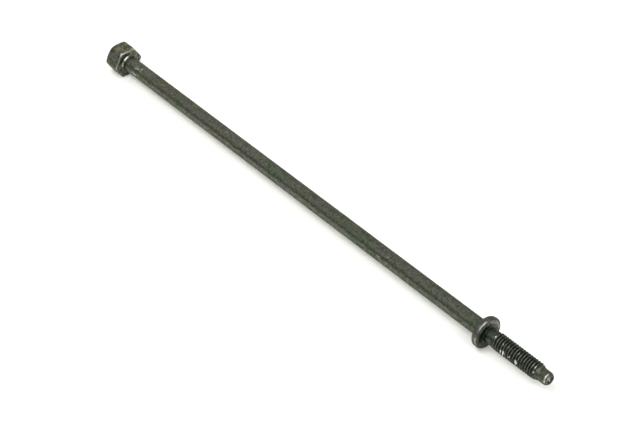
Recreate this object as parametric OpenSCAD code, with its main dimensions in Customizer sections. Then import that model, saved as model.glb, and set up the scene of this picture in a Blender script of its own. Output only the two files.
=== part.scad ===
// Battery hold down bolt, cold headed from one steel bar.
// The bolt lies along X with its point towards +X and one flat of the head facing down.
// The origin is on the bolt's axis, in the plane of the head's bearing face.

/* [Head] */
// Width of the hexagon across its flats
head_flats_w = 13.8; // [12.4:0.1:15]
// Width of the hexagon across its worn corners
head_corners_w = 15.75; // [15:0.05:17]
// Height of the head above its bearing face
head_h = 8.7; // [6:0.1:12]
// Diameter of the flat circle on top of the head
head_top_d = 13; // [10:0.1:13.5]
// Radius of the crown that rounds off the top between that circle and the corners
head_crown_r = 14.4; // [10:0.2:25]
// Bevel along the edges of the bearing face
head_edge_bevel = 0.35; // [0.1:0.05:0.6]
// Radius of the fillet under the head
head_fillet_r = 0.9; // [0.2:0.1:1]

/* [Shank] */
// Diameter of the plain shank
shank_d = 7.7; // [7:0.1:8.5]
// Length of the shank from the bearing face to the collar's seat
grip_l = 250; // [120:1:350]

/* [Collar] */
// Diameter of the upset collar
collar_d = 15.1; // [13:0.1:18]
// Thickness of the collar
collar_t = 3.8; // [2.8:0.1:5]
// Radius of the edge round the seat
collar_seat_edge_r = 0.9; // [0.3:0.1:1.2]
// Radius of the bulged edge round the back
collar_back_edge_r = 2; // [0.5:0.1:2.4]
// Radius of the fillet between the collar's back and the shank
collar_fillet_r = 0.8; // [0.2:0.1:1]

/* [Neck] */
// Diameter of the smooth neck between the seat and the thread
neck_d = 7.15; // [6.4:0.05:7.4]
// Length of the neck from the seat to the first turn of thread
neck_l = 4.6; // [2:0.1:8]
// Radius of the fillet between the seat and the neck
neck_fillet_r = 0.5; // [0.2:0.1:1]

/* [Thread] */
// Major diameter of the thread
thread_d = 7.9; // [7.5:0.05:8.2]
// Length of full thread
thread_l = 23.2; // [15:0.1:35]
// Length over which the thread rises out of the neck
thread_start_l = 0.8; // [0.4:0.1:1.5]

/* [Pilot point] */
// Length of the cone between the thread and the pilot
cone_l = 2.5; // [1.5:0.1:5]
// Diameter of the pilot
pilot_d = 6.1; // [5:0.1:6.6]
// Length of the pilot's straight part
pilot_l = 3.5; // [2:0.1:6]
// Length of the bevel at the pilot's end
pilot_bevel_l = 1.15; // [0.5:0.05:2]
// Radius that the bevel takes off
pilot_bevel_w = 0.65; // [0.3:0.05:1]
// Diameter of the dimple in the end
dimple_d = 3.5; // [2:0.1:3.6]
// Depth of the dimple
dimple_depth = 0.85; // [0.1:0.05:1]

/* [Hidden] */
$fn = 96;
hex_sides = 6;
shank_r = shank_d / 2;
collar_r = collar_d / 2;
neck_r = neck_d / 2;
thread_r = thread_d / 2;
pilot_r = pilot_d / 2;
end_r = pilot_r - pilot_bevel_w;
// How far joined shapes run into each other
overlap = 0.5;
// Places along the axis, from the bearing face
collar_back_x = grip_l - collar_t;
thread_start_x = grip_l + neck_l;
thread_x = thread_start_x + thread_start_l;
cone_x = thread_x + thread_l;
pilot_x = cone_x + cone_l;
bevel_x = pilot_x + pilot_l;
end_x = bevel_x + pilot_bevel_l;
// Centre of the ball that crowns the head
crown_x = sqrt(head_crown_r * head_crown_r - head_top_d * head_top_d / 4) - head_h;
// The collar's back edge takes at most what the seat's edge leaves of the thickness
back_edge_r = min(collar_back_edge_r, collar_t - collar_seat_edge_r);
// Ball that cuts the dimple
dimple_ball_r = (dimple_d * dimple_d / 4 + dimple_depth * dimple_depth) / (2 * dimple_depth);

// Flat ring between two places on the axis, as half a section: x is the radius, y the place
module band(from, to, r) {
    translate([0, from]) square([r, to - from]);
}

// Filling of radius r in the corner between a wall of radius wall_r and a face at y = face.
// side is 1 where the filling lies past the face and -1 where it lies before it
module corner_fillet(wall_r, face, r, side) {
    difference() {
        translate([wall_r - overlap, side > 0 ? face : face - r]) square([overlap + r, r]);
        translate([wall_r + r, face + side * r]) circle(r);
    }
}

// What rounding to radius r takes off the edge between a wall of radius wall_r and a face at
// y = face. side is 1 where the solid lies past the face and -1 where it lies before it
module edge_waste(wall_r, face, r, side) {
    difference() {
        translate([wall_r - r, side > 0 ? face - overlap : face - r]) square(r + overlap);
        translate([wall_r - r, face + side * r]) circle(r);
    }
}

// Half section of the collar, with a flat seat and a bulged back
module collar_section() {
    difference() {
        band(collar_back_x, grip_l, collar_r);
        edge_waste(collar_r, collar_back_x, back_edge_r, 1);
        edge_waste(collar_r, grip_l, collar_seat_edge_r, -1);
    }
    corner_fillet(shank_r, collar_back_x, collar_fillet_r, -1);
    corner_fillet(neck_r, grip_l, neck_fillet_r, 1);
}

// Half section of the neck, the thread at its major diameter, and the pilot point
module point_section() {
    difference() {
        polygon([
            [0, grip_l - overlap], [neck_r, grip_l - overlap], [neck_r, thread_start_x],
            [thread_r, thread_x], [thread_r, cone_x], [pilot_r, pilot_x],
            [pilot_r, bevel_x], [end_r, end_x], [0, end_x]
        ]);
        translate([0, end_x - dimple_depth + dimple_ball_r]) circle(dimple_ball_r);
    }
}

// Everything that is round about the axis, apart from the head
module round_body() {
    rotate([0, 90, 0]) rotate_extrude() {
        band(-head_h / 2, collar_back_x + overlap, shank_r);
        corner_fillet(shank_r, 0, head_fillet_r, 1);
        collar_section();
        point_section();
    }
}

// Hexagon with a flat facing down, crowned on top and worn at its corners
module head_blank() {
    intersection() {
        rotate([0, 90, 0]) rotate([0, 0, 180 / hex_sides])
            translate([0, 0, -head_h])
                cylinder(d = head_flats_w / cos(180 / hex_sides), h = head_h, $fn = hex_sides);
        translate([-head_h - overlap, 0, 0]) rotate([0, 90, 0])
            cylinder(d = head_corners_w, h = head_h + 2 * overlap);
        translate([crown_x, 0, 0]) sphere(head_crown_r);
    }
}

// Bars that bevel the six edges of the bearing face
module edge_bevels() {
    bar_w = head_edge_bevel * sqrt(2);
    for (side = [0 : hex_sides - 1])
        rotate([side * 360 / hex_sides, 0, 0])
            translate([0, 0, head_flats_w / 2])
                rotate([0, 45, 0])
                    cube([bar_w, head_corners_w, bar_w], center = true);
}

module head() {
    difference() {
        head_blank();
        edge_bevels();
    }
}

module hold_down_bolt() {
    color("#4a4b41") {
        head();
        round_body();
    }
}

hold_down_bolt();
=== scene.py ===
# Battery hold down bolt in black oxide steel, lying on a pale studio floor.
# Sizes are in millimetres and are turned to metres where a mesh or an object is made.
import math

import bpy
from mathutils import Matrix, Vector


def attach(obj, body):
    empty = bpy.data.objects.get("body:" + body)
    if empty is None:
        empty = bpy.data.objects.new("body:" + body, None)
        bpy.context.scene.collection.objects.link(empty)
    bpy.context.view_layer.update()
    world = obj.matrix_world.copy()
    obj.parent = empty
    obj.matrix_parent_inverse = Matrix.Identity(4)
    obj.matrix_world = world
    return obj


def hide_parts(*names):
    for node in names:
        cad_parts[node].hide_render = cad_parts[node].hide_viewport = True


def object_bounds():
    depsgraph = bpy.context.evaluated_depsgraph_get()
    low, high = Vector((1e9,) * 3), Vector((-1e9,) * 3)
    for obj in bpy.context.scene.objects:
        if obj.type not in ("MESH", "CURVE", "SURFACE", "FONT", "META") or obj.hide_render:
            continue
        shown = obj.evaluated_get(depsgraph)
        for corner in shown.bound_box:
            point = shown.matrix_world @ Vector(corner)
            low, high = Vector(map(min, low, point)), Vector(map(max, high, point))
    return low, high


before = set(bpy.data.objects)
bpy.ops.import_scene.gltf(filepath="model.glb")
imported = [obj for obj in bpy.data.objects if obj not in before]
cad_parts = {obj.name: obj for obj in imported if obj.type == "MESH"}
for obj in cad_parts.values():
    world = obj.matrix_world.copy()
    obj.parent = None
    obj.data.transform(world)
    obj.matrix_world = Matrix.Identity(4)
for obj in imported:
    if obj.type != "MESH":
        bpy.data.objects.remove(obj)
cadLow, cadHigh = [list(corner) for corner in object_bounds()]
mm = 0.001
print("frame loaded: CAD box", [round((b - a) / mm, 2) for a, b in zip(cadLow, cadHigh)], "mm")


def linear(hexColour):
    parts = [int(hexColour[i:i + 2], 16) / 255 for i in (1, 3, 5)]
    parts = [p / 12.92 if p <= 0.04045 else ((p + 0.055) / 1.055) ** 2.4 for p in parts]
    return (*parts, 1)


def addNode(tree, kind, settings, links={}):
    # Settings that the node itself has come first, as they can change its inputs. The others go
    # to the inputs that they name or number.
    node = tree.nodes.new(kind)
    for name, value in settings.items():
        if isinstance(name, str) and hasattr(node, name):
            setattr(node, name, value)
    for name, value in settings.items():
        if isinstance(name, int) or not hasattr(node, name):
            node.inputs[name].default_value = value
    for name, source in links.items():
        tree.links.new(source, node.inputs[name])
    return node


def newMaterial(name):
    material = bpy.data.materials.new(name)
    material.use_nodes = True
    material.node_tree.nodes.clear()
    return material, material.node_tree


def patternSize(millimetres):
    # Scale of a noise texture whose spots are this far apart, on Object coordinates in metres
    return 1 / (millimetres * mm)


def nothingSelected():
    if bpy.context.object and bpy.context.object.mode != "OBJECT":
        bpy.ops.object.mode_set(mode="OBJECT")
    bpy.ops.object.select_all(action="DESELECT")


cameraSetup = {
    "place": (648.663, -443.503, 591.615),
    "azimuth": 48.7776,      # degrees, 0 looks along +Y
    "elevation": 41.5058,    # degrees above the horizon
    "lens": 111.826,         # on a sensor 36 mm wide
}


def addCamera(setup):
    nothingSelected()
    bpy.ops.object.camera_add(
        location=[p * mm for p in setup["place"]],
        rotation=(math.radians(90 - setup["elevation"]), 0, math.radians(setup["azimuth"])))
    camera = bpy.context.object
    camera.name = "photoCamera"
    camera.data.lens = setup["lens"]
    camera.data.sensor_width = 36
    camera.data.clip_start = 0.01
    bpy.context.scene.camera = camera


addCamera(cameraSetup)
print("camera placed")

# The bolt's sizes, as the part's source has them
boltSizes = {
    "headFlats": 13.8,
    "headCorners": 15.75,
    "headHeight": 8.7,
    "headTop": 13,
    "crownRadius": 14.4,
    "headEdge": 0.35,
    "headFillet": 0.9,
    "shank": 7.7,
    "grip": 250,
    "collar": 15.1,
    "collarThickness": 3.8,
    "collarSeatEdge": 0.9,
    "collarBackEdge": 2,
    "collarFillet": 0.8,
    "neck": 7.15,
    "neckLength": 4.6,
    "neckFillet": 0.5,
    "thread": 7.9,
    "threadStart": 0.8,
    "threadLength": 23.2,
    "cone": 2.5,
    "pilot": 6.1,
    "pilotLength": 3.5,
    "pilotBevel": 1.15,
    "pilotBevelDepth": 0.65,
    "dimple": 3.5,
    "dimpleDepth": 0.85,
    # Finer than the source: soft corners, the rolled thread, and how finely the section is drawn
    "topSoft": 0.2,          # how far the corner round the head's flat top is softened each way
    "crownSoft": 0.3,        # how far the crown's corner is softened down the sides
    "pitch": 1.411,
    "crestAt": 255.613,      # a crest crosses this place on the +Y side
    "crestWidth": 0.13,
    "crestRound": 0.07,      # how deep the rounding of a crest and of a root reaches
    "rootRound": 0.22,
    "threadDepth": 0.866,
    "columns": 144,
    "ringsPerTurn": 20,
    "cornerPacking": 0.75,   # how closely the columns crowd to the hexagon's corners
    "packingReach": 12,      # the columns are even again this far from the head
}


# Scuffs, nicks and chips, and a few painted highlights and reflections: the place along the bolt,
# the turn round it in degrees from the top, the length along it, the width round it where it lies
# on the shank, how bare or pale the metal is, and the depth of the dent
boltMarks = [
    (-5.5, -23, 2, 0.9, 0.36, 0),
    (-7.3, -9, 1.8, 1, 0.3, 0),
    (-2.9, 11, 1.4, 0.7, 0.32, 0),
    (-6.2, -47, 2, 0.8, 0.3, 0),
    (-4.6, -66, 2.6, 0.7, 0.26, 0),
    (3.2, -52, 2.6, 5, 0.22, 0),
    (9.4, -33, 3.6, 2.4, 0.52, 0),
    (12, -28, 3.6, 2.8, 0.52, 0),
    (9.2, -82, 5.4, 2, 0.52, 0),
    (13, -70, 2.6, 1, 0.3, 0),
    (23.4, -75, 1.6, 0.8, 0.35, 0),
    (51.2, -78, 3.6, 1, 0.38, 0),
    (63.2, -10, 1.6, 0.9, 0.3, 0.02),
    (76.9, -10, 3, 1.3, 0.4, 0.02),
    (79.6, -12, 2.2, 1.1, 0.36, 0),
    (117, -39, 1.8, 1.1, 0.42, 0.03),
    (156.5, -25, 3.4, 1.2, 0.26, 0),
    (175, -38, 1.8, 0.9, 0.3, 0),
    (185.2, -66, 2.6, 0.9, 0.36, 0),
    (189.3, -31, 4.2, 1.5, 0.38, 0.02),
    (202.2, -25, 1.5, 0.8, 0.28, 0),
    (244.4, -75, 2.6, 1.6, 0.42, 0.03),
    # These two paint the floor's reflection as pale streaks on the collar's lower rim
    (247.4, -88, 0.8, 3.4, 0.42, 0),
    (248.8, -80, 1, 4.4, 0.45, 0),
    (254.3, -38, 0.5, 4, 0.3, 0),
    (255.35, -22, 0.8, 1.1, 1.2, 0),
    (260.5, -38, 0.5, 1.6, 0.7, 0),
    (260.6, -87, 0.5, 2.2, 1.1, 0.08),
    (262.05, -86, 0.6, 3, 1.3, 0.1),
    (262.6, -98, 0.5, 1.8, 1.1, 0.08),
    (263.3, -26, 0.5, 1.2, 0.5, 0),
    (265.2, -88, 0.8, 1.2, 1.05, 0.06),
    (267.5, -28, 0.5, 1, 0.55, 0),
    (268.9, -20, 0.5, 1.1, 0.5, 0),
    (269.1, -78, 0.45, 1.8, 1.2, 0.08),
    (269.4, -93, 0.5, 2.6, 1.3, 0.1),
    (270.1, -102, 0.45, 1.6, 1.1, 0.08),
    (277.4, -26, 0.5, 1.3, 0.55, 0),
    (278.7, -26, 0.5, 1.8, 0.8, 0.03),
    (279.1, -62, 0.8, 1, 1, 0.08),
    # These three paint the highlight along the point's bevel
    (284.6, -27, 0.6, 3.6, 0.9, 0),
    (284.85, -62, 0.5, 2.4, 0.75, 0),
    (285.15, -86, 0.45, 2.4, 0.8, 0),
]


def ballPlace(r):
    # Where the ball that crowns the head has this radius
    s = boltSizes
    centre = math.sqrt(s["crownRadius"] ** 2 - s["headTop"] ** 2 / 4) - s["headHeight"]
    return centre - math.sqrt(s["crownRadius"] ** 2 - r * r)


def startSection(x, r):
    nothingSelected()
    bpy.ops.mesh.primitive_plane_add(size=mm)
    bpy.ops.object.mode_set(mode="EDIT")
    bpy.ops.mesh.merge(type="CENTER")
    bpy.ops.transform.translate(value=(x * mm, 0, r * mm))
    return [x, r]


def lineTo(pen, x, r, steps=1):
    # Extrudes the section's last point to a new place, in equal steps
    move = ((x - pen[0]) / steps * mm, 0, (r - pen[1]) / steps * mm)
    for step in range(steps):
        bpy.ops.mesh.extrude_vertices_move(TRANSFORM_OT_translate={"value": move})
    pen[:] = [x, r]


def arcTo(pen, centre, x, r, steps):
    # Extrudes the last point round a centre to a new place
    first = math.atan2(pen[1] - centre[1], pen[0] - centre[0])
    last = math.atan2(r - centre[1], x - centre[0])
    sweep = (last - first + math.pi) % (2 * math.pi) - math.pi
    radius = math.hypot(x - centre[0], r - centre[1])
    for step in range(1, steps + 1):
        angle = first + sweep * step / steps
        lineTo(pen, centre[0] + radius * math.cos(angle), centre[1] + radius * math.sin(angle))


def cornerTo(pen, corner, x, r, steps):
    # Extrudes the last point along a soft corner to a new place
    x0, r0 = pen
    for step in range(1, steps + 1):
        u = step / steps
        lineTo(pen, (1 - u) ** 2 * x0 + 2 * u * (1 - u) * corner[0] + u * u * x,
               (1 - u) ** 2 * r0 + 2 * u * (1 - u) * corner[1] + u * u * r)


def drawHead(pen):
    s = boltSizes
    full, top, edge = s["headCorners"] / 2, s["headTop"] / 2, s["headEdge"]
    shank, fillet = s["shank"] / 2, s["headFillet"]
    soft = s["topSoft"]
    crownEnd = full - 0.25
    lineTo(pen, pen[0], top - soft, 4)
    cornerTo(pen, (-s["headHeight"], top), ballPlace(top + soft), top + soft, 3)
    for step in range(1, 7):
        r = top + soft + (crownEnd - top - soft) * step / 6
        lineTo(pen, ballPlace(r), r)
    cornerTo(pen, (ballPlace(full), full), ballPlace(full) + s["crownSoft"], full, 5)
    lineTo(pen, -edge, full, 8)
    arcTo(pen, (-edge, full - edge), 0, full - edge, 6)
    lineTo(pen, 0, shank + fillet, 6)
    arcTo(pen, (fillet, shank + fillet), fillet, shank, 6)


def drawShank(pen):
    s = boltSizes
    # Rings lie close together only beside the head and where a scuff needs them
    last = s["grip"] - s["collarThickness"] - s["collarFillet"]
    places = [2, 4, 6, 8, *range(14, int(last) + 1, 6)]
    for x, turn, length, width, bare, dent in boltMarks:
        places += [x + length * (step / 6 - 0.5) for step in range(7) if x < last - 2]
    for place in sorted(places):
        if pen[0] + 0.15 < place < last - 0.15:
            lineTo(pen, place, s["shank"] / 2)
    lineTo(pen, last, s["shank"] / 2)


def drawCollar(pen):
    s = boltSizes
    back, seat = s["grip"] - s["collarThickness"], s["grip"]
    rim, neck = s["collar"] / 2, s["neck"] / 2
    fillet, bulge, edge = s["collarFillet"], s["collarBackEdge"], s["collarSeatEdge"]
    arcTo(pen, (back - fillet, s["shank"] / 2 + fillet), back, s["shank"] / 2 + fillet, 6)
    lineTo(pen, back, rim - bulge, 2)
    arcTo(pen, (back + bulge, rim - bulge), back + bulge, rim, 10)
    lineTo(pen, seat - edge, rim, 2)
    arcTo(pen, (seat - edge, rim - edge), seat, rim - edge, 8)
    lineTo(pen, seat, neck + s["neckFillet"], 5)
    arcTo(pen, (seat + s["neckFillet"], neck + s["neckFillet"]), seat + s["neckFillet"], neck, 6)


def drawPoint(pen):
    s = boltSizes
    neck, thread, pilot = s["neck"] / 2, s["thread"] / 2, s["pilot"] / 2
    start = s["grip"] + s["neckLength"]
    cone = start + s["threadStart"] + s["threadLength"]
    ring = s["pitch"] / s["ringsPerTurn"]
    lineTo(pen, start - 0.6, neck, 6)
    lineTo(pen, start, neck, round(0.6 / ring))
    lineTo(pen, start + s["threadStart"], thread, round(s["threadStart"] / ring))
    lineTo(pen, cone, thread, round(s["threadLength"] / ring))
    lineTo(pen, cone + s["cone"], pilot, round(s["cone"] / ring))
    bevel = cone + s["cone"] + s["pilotLength"]
    end, tip = bevel + s["pilotBevel"], pilot - s["pilotBevelDepth"]
    lineTo(pen, bevel - 0.25, pilot, 6)
    slope = s["pilotBevelDepth"] / s["pilotBevel"]
    cornerTo(pen, (bevel, pilot), bevel + 0.25, pilot - 0.25 * slope, 5)
    lineTo(pen, end - 0.2, tip + 0.2 * slope, 4)
    cornerTo(pen, (end, tip), end, tip - 0.2, 5)
    dimple, depth = s["dimple"] / 2, s["dimpleDepth"]
    ball = (dimple ** 2 + depth ** 2) / (2 * depth)
    lineTo(pen, end, dimple + 0.1)
    lineTo(pen, end - depth + ball - math.sqrt(ball ** 2 - (dimple * 0.95) ** 2), dimple * 0.95)
    arcTo(pen, (end - depth + ball, 0), end - depth, 0, 8)


def turnSection():
    # Spins the section round the axis, closes the seam and both poles, and faces it outwards
    bpy.ops.mesh.select_all(action="SELECT")
    bpy.ops.mesh.spin(steps=boltSizes["columns"], angle=2 * math.pi, center=(0, 0, 0),
                      axis=(1, 0, 0))
    bpy.ops.mesh.select_all(action="SELECT")
    bpy.ops.mesh.remove_doubles(threshold=0.002 * mm)
    bpy.ops.mesh.normals_make_consistent(inside=False)
    bpy.ops.object.mode_set(mode="OBJECT")


def hexOutline(turn, inset):
    # Distance from the axis to the hexagon's side, this far inside it, with worn corners
    s = boltSizes
    flat = s["headFlats"] / 2
    half = math.pi / 6
    corner = (flat / math.cos(half) - s["headCorners"] / 2) / (1 / math.cos(half) - 1)
    centre = (flat - corner) / math.cos(half)
    flat, corner = flat - inset, corner - inset
    side = abs((turn + half) % (2 * half) - half)
    if side <= math.atan2(centre * math.sin(half), flat):
        return flat / math.cos(side)
    across = centre * math.sin(half - side)
    return centre * math.cos(half - side) + math.sqrt(max(corner ** 2 - across ** 2, 0))


def forgeHexagon(x, r, turn):
    # Presses the round head to the hexagon, and crowds the columns to its corners
    s = boltSizes
    half = math.pi / 6
    side = (turn + half) % (2 * half) - half
    crowd = s["cornerPacking"] * half * math.sin(math.pi * side / half) / math.pi
    turn += crowd * min(max(1 - x / s["packingReach"], 0), 1)
    full, top, edge = s["headCorners"] / 2, s["headTop"] / 2 + s["topSoft"], s["headEdge"]
    inner = s["shank"] / 2 + s["headFillet"]
    if x > 0.01 or r < inner + 0.01:
        return x, r, turn
    outline = hexOutline(turn, 0)
    crownEnd = ballPlace(full) + s["crownSoft"]
    if x < crownEnd + 0.01:
        if r <= top:
            return x, r, turn
        pressed = top + (outline - top) * (r - top) / (full - top)
        return x + ballPlace(pressed) - ballPlace(r), pressed, turn
    if x < -0.001 or r > full - edge + 0.001:
        # The rings down the sides follow the crown's scallops at first, and are level from here
        levelFrom = -3
        settle = min(max((x - levelFrom) / (crownEnd - levelFrom), 0), 1)
        drop = (ballPlace(outline) - ballPlace(full)) * settle
        return x + drop, hexOutline(turn, full - r), turn
    share = (r - inner) / (full - edge - inner)
    return x, inner + share * (hexOutline(turn, edge) - inner), turn


def threadDrop(x, turn):
    # How far the rolled thread lies under its crest here
    s = boltSizes
    lead = (math.pi / 2 - turn) / (2 * math.pi)
    place = ((x - s["crestAt"]) / s["pitch"] - lead) % 1
    flank = (min(place, 1 - place) * s["pitch"] - s["crestWidth"] / 2) * math.sqrt(3)
    crest, root, depth = s["crestRound"], s["rootRound"], s["threadDepth"]
    if flank < crest:
        return max(flank + crest, 0) ** 2 / (4 * crest)
    if flank > depth - root:
        return depth - max(depth + root - flank, 0) ** 2 / (4 * root)
    return flank


def smoothStep(value, low, high):
    # Rises softly from 0 at low to 1 at high, which may be the smaller of the two
    u = min(max((value - low) / (high - low), 0), 1)
    return u * u * (3 - 2 * u)


def rollThread(x, r, turn):
    # Rolls the thread into the plain stretch: shallow over its first turn, cut by the cone last
    s = boltSizes
    start = s["grip"] + s["neckLength"]
    grown = smoothStep(x, start - 0.5, start + s["pitch"])
    crest = s["thread"] / 2 - threadDrop(x, turn)
    neck = s["neck"] / 2
    return min(r if x > start + s["pitch"] else s["thread"] / 2, neck + (crest - neck) * grown)


def shapeBolt(bolt):
    # Gives every point its place, and writes how bare it is, and where highlights and shade are
    # painted, for the material to read
    mesh = bolt.data
    shares = {"wearAndHighlight": [], "darkToneAndShade": [], "forged": [], "greyed": []}
    s = boltSizes
    threadFrom = s["grip"] + s["neckLength"] - 0.5
    threadTo = s["grip"] + s["neckLength"] + s["threadStart"] + s["threadLength"] + s["cone"]
    for vertex in mesh.vertices:
        x, y, z = [c / mm for c in vertex.co]
        r, turn = math.hypot(y, z), math.atan2(y, z)
        if x < s["packingReach"]:
            x, r, turn = forgeHexagon(x, r, turn)
        elif threadFrom < x < threadTo:
            r = rollThread(x, r, turn)
        bare, dent = marked(x, turn)
        r -= dent
        rough = forged(x, r)
        shares["wearAndHighlight"].append(max(wearAndHighlight(x, r, turn), bare))
        shares["darkToneAndShade"].append(darkToneAndShade(x, r, turn) * (1 - bare))
        shares["forged"].append(rough)
        shares["greyed"].append(rough * smoothStep(x, s["grip"] - 10, s["grip"] - 6))
        vertex.co = Vector((x, r * math.sin(turn), r * math.cos(turn))) * mm
    for name, values in shares.items():
        mesh.attributes.new(name, "FLOAT", "POINT").data.foreach_set("value", values)
    mesh.update()


def nearEdge(x, r, edgeX, edgeR, width):
    # 1 on an edge, falling to 0 this far from it
    return max(1 - math.hypot(x - edgeX, r - edgeR) / width, 0)


def marked(x, turn):
    # How bare and how dented the listed marks leave this place
    bare, dent = 0, 0
    for markX, markTurn, length, width, markBare, markDent in boltMarks:
        along = (x - markX) / length * 2
        if abs(along) < 1:
            apart = (turn - math.radians(markTurn) + math.pi) % (2 * math.pi) - math.pi
            inside = 1 - along ** 2 - (apart * boltSizes["shank"] / width) ** 2
            if inside > 0:
                # Bare over most of the mark, fading out near its border
                bare = max(bare, markBare * min(inside * 1.6, 1))
                dent = max(dent, markDent * inside)
    return bare, dent


def facing(turn, low, high):
    # 1 where the turn, in degrees from the top, lies between these two, fading out over 15 more
    middle, half = (low + high) / 2, (high - low) / 2
    apart = abs((math.degrees(turn) - middle + 180) % 360 - 180)
    return smoothStep(apart, half + 15, half)


# Where the oxide is off, where highlights are painted pale, where the skin is darker and where
# shade is painted dark. 1 is wholly pale or wholly dark
wearToneAndPaintedLight = {
    # How bare it is all round, then how much barer between two turns, in degrees from the top
    # The all-round shares are wear and tone. The stretches paint highlights where the bearing
    # edge, the root's fillet, the seat's edge, the point's bevel and end and the crests face the
    # lights, and paint the upper side of the head and of the seat lighter
    "head": (0.2, (0.12, 5, 90)),
    "bearingEdge": (0.34, (0.2, -92, -40), (0.4, -20, 34)),
    "headFillet": (0, (0.8, -36, -10), (0.35, -85, -65)),
    "seatEdge": (0.3, (0.6, -38, -14), (0.4, -108, -78)),
    "seat": (0.12, (0.33, -60, 90)),
    "pilotEdge": (0.3, (0.6, -45, 0), (0.3, -95, -60)),
    "end": (0.12, (0.35, -130, 10)),
    "crests": (0.38, (0.2, -60, -10)),
    # How bare other places are
    # Painted highlight at the bearing edge's near corner
    "cornerHighlight": 0.6,       # the corner 30 degrees to the -Y side of the top
    "crownEdge": 0.3,
    "headRoot": 0.15,
    "collar": 0.25,
    # Painted highlight on the cup's floor
    "cupHighlight": 0.58,
    # How much darker a place is, and above 1 darker still. Painted shade: low on the head, the
    # crescents beside the head's root and beside the neck, and the cup's wall. The seat and the
    # point are darker
    "headShadeCrescent": 1.35,
    "headLowShade": 0.9,
    "seatDarker": 0.3,
    "seatShadeCrescent": 1.2,
    "cupWallShade": 1.3,
    "pointOil": 0.25,
    # How much lighter or darker than the rest of the threaded end. The lighter crests leave the
    # grooves as painted shade, the darker top side and foot of the neck are painted shade, the
    # lighter neck is tone
    "crestsLighter": 0.6,
    "neckCleaner": 0.22,
    "topShaded": 0.25,
    "neckFootShaded": 0.35,
}


def paleAmount(place, turn):
    # How bare this place is at this turn
    allRound, *stretches = wearToneAndPaintedLight[place]
    return allRound + sum(more * facing(turn, low, high) for more, low, high in stretches)


def onHead(x, r):
    return x < 0.05 and r > boltSizes["shank"] / 2 + boltSizes["headFillet"] - 0.25


def wearAndHighlight(x, r, turn):
    # How bare the metal is on the edges, the seat and the crests, with painted highlights where
    # they face the lights
    s, w = boltSizes, wearToneAndPaintedLight
    grip, rim, edge = s["grip"], s["collar"] / 2, s["collarSeatEdge"]
    crest, end = s["thread"] / 2, cadHigh[0] / mm
    if onHead(x, r):
        outline = hexOutline(turn, 0)
        # Painted highlight along the bearing edge where it faces the lights, brightest at the near
        # corner; the crown's edge is bare metal
        cornerHighlight = smoothStep(abs(math.degrees(turn) + 30), 12, 4)
        shine = paleAmount("bearingEdge", turn) + w["cornerHighlight"] * cornerHighlight
        return max(paleAmount("head", turn), shine * nearEdge(x, r, -0.15, outline - 0.15, 0.95),
                   w["crownEdge"] * nearEdge(x, r, ballPlace(outline), outline, 0.4))
    if x < 2 and r < s["shank"] / 2 + s["headFillet"]:
        # The shank's root is a little bare; the fillet's stretch is a painted highlight
        return w["headRoot"] + paleAmount("headFillet", turn) * nearEdge(x, 0, 0.5, 0, 1.1)
    if abs(x - grip) < 4 and r > s["neck"] / 2 + 0.5:
        # Painted highlights on the seat's edge and a painted lighter upper seat; the collar is a
        # little paler all round
        onEdge = nearEdge(x, r, grip - edge * 0.72, rim - edge * 0.06, 0.55)
        inner = 4.3 + 0.8 * facing(turn, -80, -20)
        onSeat = smoothStep(x, grip - 0.1, grip) * smoothStep(r, inner, inner + 0.6)
        return max(w["collar"], paleAmount("seatEdge", turn) * onEdge, paleAmount("seat", turn) * onSeat)
    if x > end - 2:
        # Painted highlights on the point's bevel, on its end and on the cup's floor, where they
        # face the light
        onEdge = nearEdge(x, r, end - s["pilotBevel"] + 0.2, s["pilot"] / 2, 0.6)
        y, z = r * math.sin(turn), r * math.cos(turn)
        inCupHighlight = smoothStep(math.hypot((y - 0.25) / 0.5, z / 1.45), 1.15, 0.7)
        return max(paleAmount("pilotEdge", turn) * onEdge, w["cupHighlight"] * inCupHighlight,
                   paleAmount("end", turn) * smoothStep(x, end - 0.3, end))
    if x > grip + s["neckLength"]:
        # Bare crests, with a painted highlight on the side that faces the light
        return paleAmount("crests", turn) * smoothStep(r, crest - 0.08, crest - 0.01)
    return 0


def forged(x, r):
    # 1 on the head and the collar, whose skin is rougher than the drawn bar's
    s = boltSizes
    radius = s["shank"] / 2 + s["headFillet"]
    onCollar = s["grip"] - s["collarThickness"] - 0.2 < x < s["grip"] + 0.05
    return smoothStep(r, radius - 0.5, radius) if x < 0.3 or onCollar else 0


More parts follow.
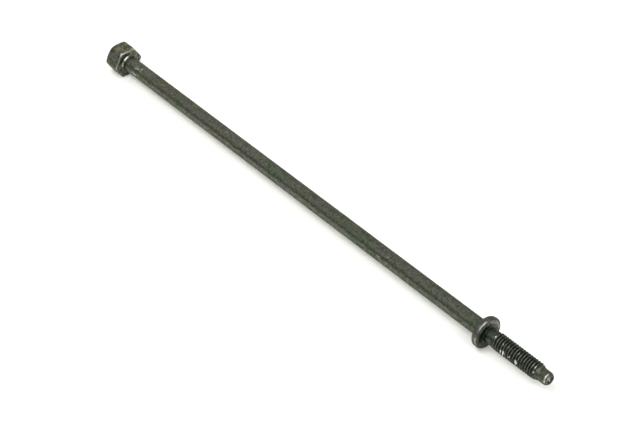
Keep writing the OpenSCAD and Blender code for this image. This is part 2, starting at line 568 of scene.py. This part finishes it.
def darkToneAndShade(x, r, turn):
    # The neck and the thread are darker than the rest. Painted shade lies in the thread's grooves,
    # on its top side and at the neck's foot, in the corners beside the shank, low on the bearing
    # face and on the cup's wall
    s, w = boltSizes, wearToneAndPaintedLight
    grip, crest, end = s["grip"], s["thread"] / 2, cadHigh[0] / mm
    if onHead(x, r):
        # Painted shade, low on the bearing face near the floor and in a crescent beside the root
        low = w["headLowShade"] * facing(turn, -170, -115) * smoothStep(r, 7.2, 6.4)
        crescent = w["headShadeCrescent"] * facing(turn, -62, -8) * smoothStep(r, 6.6, 5.6)
        return max(low, crescent) * smoothStep(x, -1, -0.5)
    if abs(x - grip) < s["neckFillet"] and r > s["neck"] / 2 + 0.05:
        # The seat is darker, with a crescent of painted shade beside the neck
        return w["seatDarker"] + w["seatShadeCrescent"] * facing(turn, -105, 0) * smoothStep(r, 6.4, 5.4)
    if x > end - s["dimpleDepth"] - 0.1 and r < s["dimple"] / 2:
        # Painted shade on the cup's wall
        return w["cupWallShade"] * smoothStep(r, 0.8, 1.3)
    threadEnd = grip + s["neckLength"] + s["threadStart"] + s["threadLength"]
    onNeck = smoothStep(x, grip + 0.6, grip + 1.2) * smoothStep(x, grip + 6, grip + 4)
    dark = smoothStep(x, grip, grip + 0.1) * smoothStep(x, threadEnd + 1.6, threadEnd)
    # Painted shade: the grooves darker than the crests, and the top side and the neck's foot
    # darker still
    dark *= 1 - w["crestsLighter"] * smoothStep(r, crest - 0.14, crest - 0.02)
    dark *= 1 - w["neckCleaner"] * onNeck
    dark *= 1 + w["topShaded"] * facing(turn, -10, 90) * smoothStep(x, grip + 4, grip + 6)
    dark *= 1 + w["neckFootShaded"] * smoothStep(x, grip + 1.9, grip + 1.2)
    return max(dark, w["pointOil"] * smoothStep(x, grip, grip + 0.5))


def makeBolt():
    pen = startSection(-boltSizes["headHeight"], 0)
    drawHead(pen)
    drawShank(pen)
    drawCollar(pen)
    drawPoint(pen)
    turnSection()
    bolt = bpy.context.object
    bolt.name = "oxideBolt"
    bolt.data.name = "oxideBolt"
    shapeBolt(bolt)
    bpy.ops.object.shade_smooth_by_angle(angle=math.radians(32))
    print("bolt made:", len(bolt.data.polygons), "faces")
    return bolt


bolt = makeBolt()
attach(bolt, "root")
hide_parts("hold_down_bolt")

# Black oxide on cold headed steel: a thin olive-black skin over bright metal. It mirrors softly,
# wanders between green, grey and brown, and shows pale metal where it is bare. The pale colour
# also paints highlights, and the dark one paints shade.
oxideLook = {
    "olive": "#62635b",
    "green": "#575f50",
    "brown": "#625f58",
    "straw": "#67664d",
    # The dark colour of the neck and the thread, also used to paint shade
    "darkToneAndShade": "#434b43",
    # Bare metal, also used to paint highlights on edges, the seat, the point and the crests
    "wearAndHighlight": "#bdbbb2",
    "fresh": "#f2efe6",      # metal laid bare by a nick
    "grey": "#605f5b",       # the collar's skin
    "rim": "#c4c4c0",        # how a metal's skin looks where it is seen edge on
    "patch": 6,              # millimetres between patches
    "fleck": 1.1,            # millimetres between flecks
    "blotch": 2.6,           # millimetres between the blotches of the forged parts
    "grain": 1.2,            # the real grain is finer: drawn as coarse as the render can show
    "roughness": 0.38,
    "forged": 0.15,          # how much rougher the head and the collar are
}


def makeOxide(look):
    material, tree = newMaterial("blackOxideSteel")
    place = addNode(tree, "ShaderNodeTexCoord", {})
    parts = addNode(tree, "ShaderNodeSeparateXYZ", {}, {0: place.outputs["Object"]})
    # Drawing the bar has pulled its patches out lengthwise
    drawn = addNode(tree, "ShaderNodeMapping", {"Scale": (0.45, 1, 1)},
                    {"Vector": place.outputs["Object"]})
    patches = addNode(tree, "ShaderNodeTexNoise",
                      {"Scale": patternSize(look["patch"]), "Detail": 3, "Roughness": 0.6},
                      {"Vector": drawn.outputs[0]})
    hue = addNode(tree, "ShaderNodeTexNoise",
                  {"Scale": patternSize(look["patch"] * 1.7), "Detail": 2, "Distortion": 0.3},
                  {"Vector": drawn.outputs[0]})
    flecks = addNode(tree, "ShaderNodeTexNoise",
                     {"Scale": patternSize(look["fleck"]), "Detail": 3, "Roughness": 0.65},
                     {"Vector": place.outputs["Object"]})
    grain = addNode(tree, "ShaderNodeTexNoise",
                    {"Scale": patternSize(look["grain"]), "Detail": 2},
                    {"Vector": place.outputs["Object"]})
    # The skin's colours: olive, then green and brown patches, and straw ones, most on the head
    greenShare = addNode(tree, "ShaderNodeMapRange", {1: 0.42, 2: 0.62},
                         {0: patches.outputs[0]})
    brownShare = addNode(tree, "ShaderNodeMapRange", {1: 0.5, 2: 0.72, 4: 0.8},
                         {0: hue.outputs[0]})
    skin = addNode(tree, "ShaderNodeMix",
                   {"data_type": "RGBA", 6: linear(look["olive"]), 7: linear(look["green"])},
                   {0: greenShare.outputs[0]})
    skin = addNode(tree, "ShaderNodeMix", {"data_type": "RGBA", 7: linear(look["brown"])},
                   {0: brownShare.outputs[0], 6: skin.outputs[2]})
    tint = addNode(tree, "ShaderNodeTexNoise",
                   {"Scale": patternSize(look["patch"] * 0.75), "Detail": 2,
                    "noise_dimensions": "4D", "W": 7.3},
                   {"Vector": place.outputs["Object"]})
    headShare = addNode(tree, "ShaderNodeMapRange", {1: 0.3 * mm, 2: 0, 4: 0.11},
                        {0: parts.outputs["X"]})
    tinted = addNode(tree, "ShaderNodeMath", {"operation": "ADD"},
                     {0: tint.outputs[0], 1: headShare.outputs[0]})
    strawShare = addNode(tree, "ShaderNodeMapRange", {1: 0.58, 2: 0.7, 4: 0.7},
                         {0: tinted.outputs[0]})
    skin = addNode(tree, "ShaderNodeMix", {"data_type": "RGBA", 7: linear(look["straw"])},
                   {0: strawShare.outputs[0], 6: skin.outputs[2]})
    # The collar is grey, and a dark colour darkens the neck and the thread and paints shade in the
    # grooves, beside the head's root and the neck, and in the cup
    greyed = addNode(tree, "ShaderNodeAttribute", {"attribute_name": "greyed"})
    skin = addNode(tree, "ShaderNodeMix", {"data_type": "RGBA", 7: linear(look["grey"])},
                   {0: greyed.outputs["Fac"], 6: skin.outputs[2]})
    darkAttribute = addNode(tree, "ShaderNodeAttribute", {"attribute_name": "darkToneAndShade"})
    skin = addNode(tree, "ShaderNodeMix", {"data_type": "RGBA", 7: linear(look["darkToneAndShade"])},
                   {0: darkAttribute.outputs["Fac"], 6: skin.outputs[2]})
    # How light the skin is: flecks all over, blotches on the forged parts, and painted shade
    shade = addNode(tree, "ShaderNodeMapRange", {1: 0.3, 2: 0.7, 3: 0.52, 4: 1.48},
                    {0: flecks.outputs[0]})
    blotches = addNode(tree, "ShaderNodeTexNoise",
                       {"Scale": patternSize(look["blotch"]), "Detail": 3, "Roughness": 0.6},
                       {"Vector": place.outputs["Object"]})
    blotched = addNode(tree, "ShaderNodeMath", {"operation": "MULTIPLY_ADD", 1: 2.4, 2: -1.16},
                       {0: blotches.outputs[0]})
    forgedShare = addNode(tree, "ShaderNodeAttribute", {"attribute_name": "forged"})
    blotchShare = addNode(tree, "ShaderNodeMath", {"operation": "MULTIPLY_ADD", 1: -0.5},
                          {0: greyed.outputs["Fac"], 2: forgedShare.outputs["Fac"]})
    shade = addNode(tree, "ShaderNodeMath", {"operation": "MULTIPLY_ADD"},
                    {0: blotched.outputs[0], 1: blotchShare.outputs[0], 2: shade.outputs[0]})
    shade = addNode(tree, "ShaderNodeMath", {"operation": "MAXIMUM", 1: 0.3},
                    {0: shade.outputs[0]})
    # A little darker towards the point: painted shade, as the light falls off along the bolt
    along = addNode(tree, "ShaderNodeMapRange", {1: 0, 2: 240 * mm, 3: 1.08, 4: 0.88},
                    {0: parts.outputs["X"]})
    shade = addNode(tree, "ShaderNodeMath", {"operation": "MULTIPLY"},
                    {0: shade.outputs[0], 1: along.outputs[0]})
    # Above 1 the dark share paints deeper shade: beside the head's root and the neck, in the cup,
    # in the top grooves and at the neck's foot
    paintedShade = addNode(tree, "ShaderNodeMapRange", {1: 1, 2: 1.6, 3: 1, 4: 0.2},
                    {0: darkAttribute.outputs["Fac"]})
    shade = addNode(tree, "ShaderNodeMath", {"operation": "MULTIPLY"},
                    {0: shade.outputs[0], 1: paintedShade.outputs[0]})
    skin = addNode(tree, "ShaderNodeVectorMath", {"operation": "SCALE"},
                   {0: skin.outputs[2], "Scale": shade.outputs[0]})
    # Where the metal is bare or a highlight is painted, the flecks break up the border of the pale
    # colour
    paleAttribute = addNode(tree, "ShaderNodeAttribute", {"attribute_name": "wearAndHighlight"})
    broken = addNode(tree, "ShaderNodeMath", {"operation": "ADD", 1: -0.5},
                     {0: flecks.outputs[0]})
    patchy = addNode(tree, "ShaderNodeMath", {"operation": "MULTIPLY_ADD", 1: -0.8, 2: 1.4},
                     {0: greyed.outputs["Fac"]})
    paleShare = addNode(tree, "ShaderNodeMath", {"operation": "MULTIPLY_ADD"},
                       {0: broken.outputs[0], 1: patchy.outputs[0], 2: paleAttribute.outputs["Fac"]})
    paleShare = addNode(tree, "ShaderNodeMapRange", {1: 0.35, 2: 0.8}, {0: paleShare.outputs[0]})
    colour = addNode(tree, "ShaderNodeMix", {"data_type": "RGBA", 7: linear(look["wearAndHighlight"])},
                     {0: paleShare.outputs[0], 6: skin.outputs[0]})
    # Past about 1 it turns to fresh metal: in nicks, and at the brightest painted highlights
    ragged = addNode(tree, "ShaderNodeMath", {"operation": "MULTIPLY_ADD", 1: 1.2},
                     {0: broken.outputs[0], 2: paleAttribute.outputs["Fac"]})
    nicked = addNode(tree, "ShaderNodeMapRange", {1: 0.85, 2: 1.2}, {0: ragged.outputs[0]})
    colour = addNode(tree, "ShaderNodeMix", {"data_type": "RGBA", 7: linear(look["fresh"])},
                     {0: nicked.outputs[0], 6: colour.outputs[2]})
    # The sheen wanders with the patches, and is duller on the forged parts
    gloss = addNode(tree, "ShaderNodeMapRange",
                    {1: 0.3, 2: 0.7, 3: look["roughness"] - 0.06, 4: look["roughness"] + 0.08},
                    {0: patches.outputs[0]})
    gloss = addNode(tree, "ShaderNodeMath", {"operation": "MULTIPLY_ADD", 1: look["forged"]},
                    {0: forgedShare.outputs["Fac"], 2: gloss.outputs[0]})
    bump = addNode(tree, "ShaderNodeBump", {"Strength": 0.8, "Distance": 0.05 * mm},
                   {"Height": grain.outputs[0]})
    shader = addNode(tree, "ShaderNodeBsdfPrincipled",
                     {"Metallic": 1, "Specular Tint": linear(look["rim"])},
                     {"Base Color": colour.outputs[2], "Roughness": gloss.outputs[0],
                      "Normal": bump.outputs[0]})
    addNode(tree, "ShaderNodeOutputMaterial", {}, {0: shader.outputs[0]})
    return material


bolt.data.materials.clear()
bolt.data.materials.append(makeOxide(oxideLook))
print("black oxide ready")

# Pale matt paper. It reads white to the camera and in reflections, and keeps the shadow.
floorSetup = {
    "size": 6,               # metres
    "colour": "#f2f2ee",
    "lift": 0.13,            # white added as it is seen, so that only the near shadow shows
}


def makeFloor(setup):
    # The bolt rests on the head's lower flat and on the collar, so the floor lies along both
    s = boltSizes
    restX, restZ = ballPlace(s["headFlats"] / 2), -s["headFlats"] / 2
    slope = (s["collar"] / 2 + restZ) / (s["grip"] - s["collarSeatEdge"] - restX)
    nothingSelected()
    bpy.ops.mesh.primitive_plane_add(
        size=setup["size"],
        location=(0, 0, (restZ + slope * restX) * mm),
        rotation=(0, math.atan(slope), 0))
    floor = bpy.context.object
    floor.name = "paleFloor"
    material, tree = newMaterial("matPaper")
    paper = addNode(tree, "ShaderNodeBsdfDiffuse", {"Color": linear(setup["colour"])})
    ray = addNode(tree, "ShaderNodeLightPath", {})
    seen = addNode(tree, "ShaderNodeMath", {"operation": "ADD"},
                   {0: ray.outputs["Is Camera Ray"], 1: ray.outputs["Is Transmission Ray"]})
    seen = addNode(tree, "ShaderNodeMath", {"operation": "ADD"},
                   {0: seen.outputs[0], 1: ray.outputs["Is Glossy Ray"]})
    lift = addNode(tree, "ShaderNodeMath", {"operation": "MULTIPLY", 1: setup["lift"]},
                   {0: seen.outputs[0]})
    glow = addNode(tree, "ShaderNodeEmission", {"Color": (1, 1, 1, 1)},
                   {"Strength": lift.outputs[0]})
    both = addNode(tree, "ShaderNodeAddShader", {}, {0: paper.outputs[0], 1: glow.outputs[0]})
    addNode(tree, "ShaderNodeOutputMaterial", {}, {0: both.outputs[0]})
    floor.data.materials.append(material)


makeFloor(floorSetup)

# A wide soft light overhead, one lower past the point, a key light that draws the shadow, and a
# room that is darker in front. The lights' own sizes are in metres and their power is in watts.
lightSetup = {
    "overhead": {"place": (340, -800, 1100), "aim": (140, 0, 0), "size": (0.9, 0.9), "power": 5.5},
    "key": {"place": (20, -540, 1200), "aim": (140, 0, 0), "size": (0.5, 0.5), "power": 8},
    "pointSide": {"place": (1240, -40, 780), "aim": (200, 0, 0), "size": (1.3, 0.3), "power": 7.5},
    "room": "#ebece9",
    "front": "#3a3a38",
}


def addSoftLight(name, setup):
    nothingSelected()
    place = Vector(setup["place"]) * mm
    bpy.ops.object.light_add(type="AREA", location=place)
    light = bpy.context.object
    light.name = name
    light.data.shape = "RECTANGLE"
    light.data.size, light.data.size_y = setup["size"]
    light.data.energy = setup["power"]
    light.rotation_euler = (place - Vector(setup["aim"]) * mm).to_track_quat("Z", "Y").to_euler()
    return light


def makeRoom(setup):
    world = bpy.data.worlds.new("studioRoom")
    bpy.context.scene.world = world
    world.use_nodes = True
    tree = world.node_tree
    tree.nodes.clear()
    direction = addNode(tree, "ShaderNodeTexCoord", {})
    parts = addNode(tree, "ShaderNodeSeparateXYZ", {}, {0: direction.outputs["Generated"]})
    low = addNode(tree, "ShaderNodeMapRange",
                  {"interpolation_type": "SMOOTHSTEP", 1: 0.55, 2: 0.14},
                  {0: parts.outputs["Z"]})
    front = addNode(tree, "ShaderNodeMapRange",
                    {"interpolation_type": "SMOOTHSTEP", 1: 0.3, 2: -0.4},
                    {0: parts.outputs["Y"]})
    dark = addNode(tree, "ShaderNodeMath", {"operation": "MULTIPLY"},
                   {0: low.outputs[0], 1: front.outputs[0]})
    tone = addNode(tree, "ShaderNodeMix",
                   {"data_type": "RGBA", 6: linear(setup["room"]), 7: linear(setup["front"])},
                   {0: dark.outputs[0]})
    sky = addNode(tree, "ShaderNodeBackground", {}, {"Color": tone.outputs[2]})
    addNode(tree, "ShaderNodeOutputWorld", {}, {0: sky.outputs[0]})


overheadLight = addSoftLight("overheadLight", lightSetup["overhead"])
overheadLight.visible_diffuse = False    # it is only mirrored in the metal
keyLight = addSoftLight("keyLight", lightSetup["key"])
keyLight.visible_glossy = False          # it only draws the shadow on the paper
addSoftLight("pointSideLight", lightSetup["pointSide"])
makeRoom(lightSetup)
bpy.context.scene.view_settings.view_transform = "Standard"
print("floor, lights and room ready")
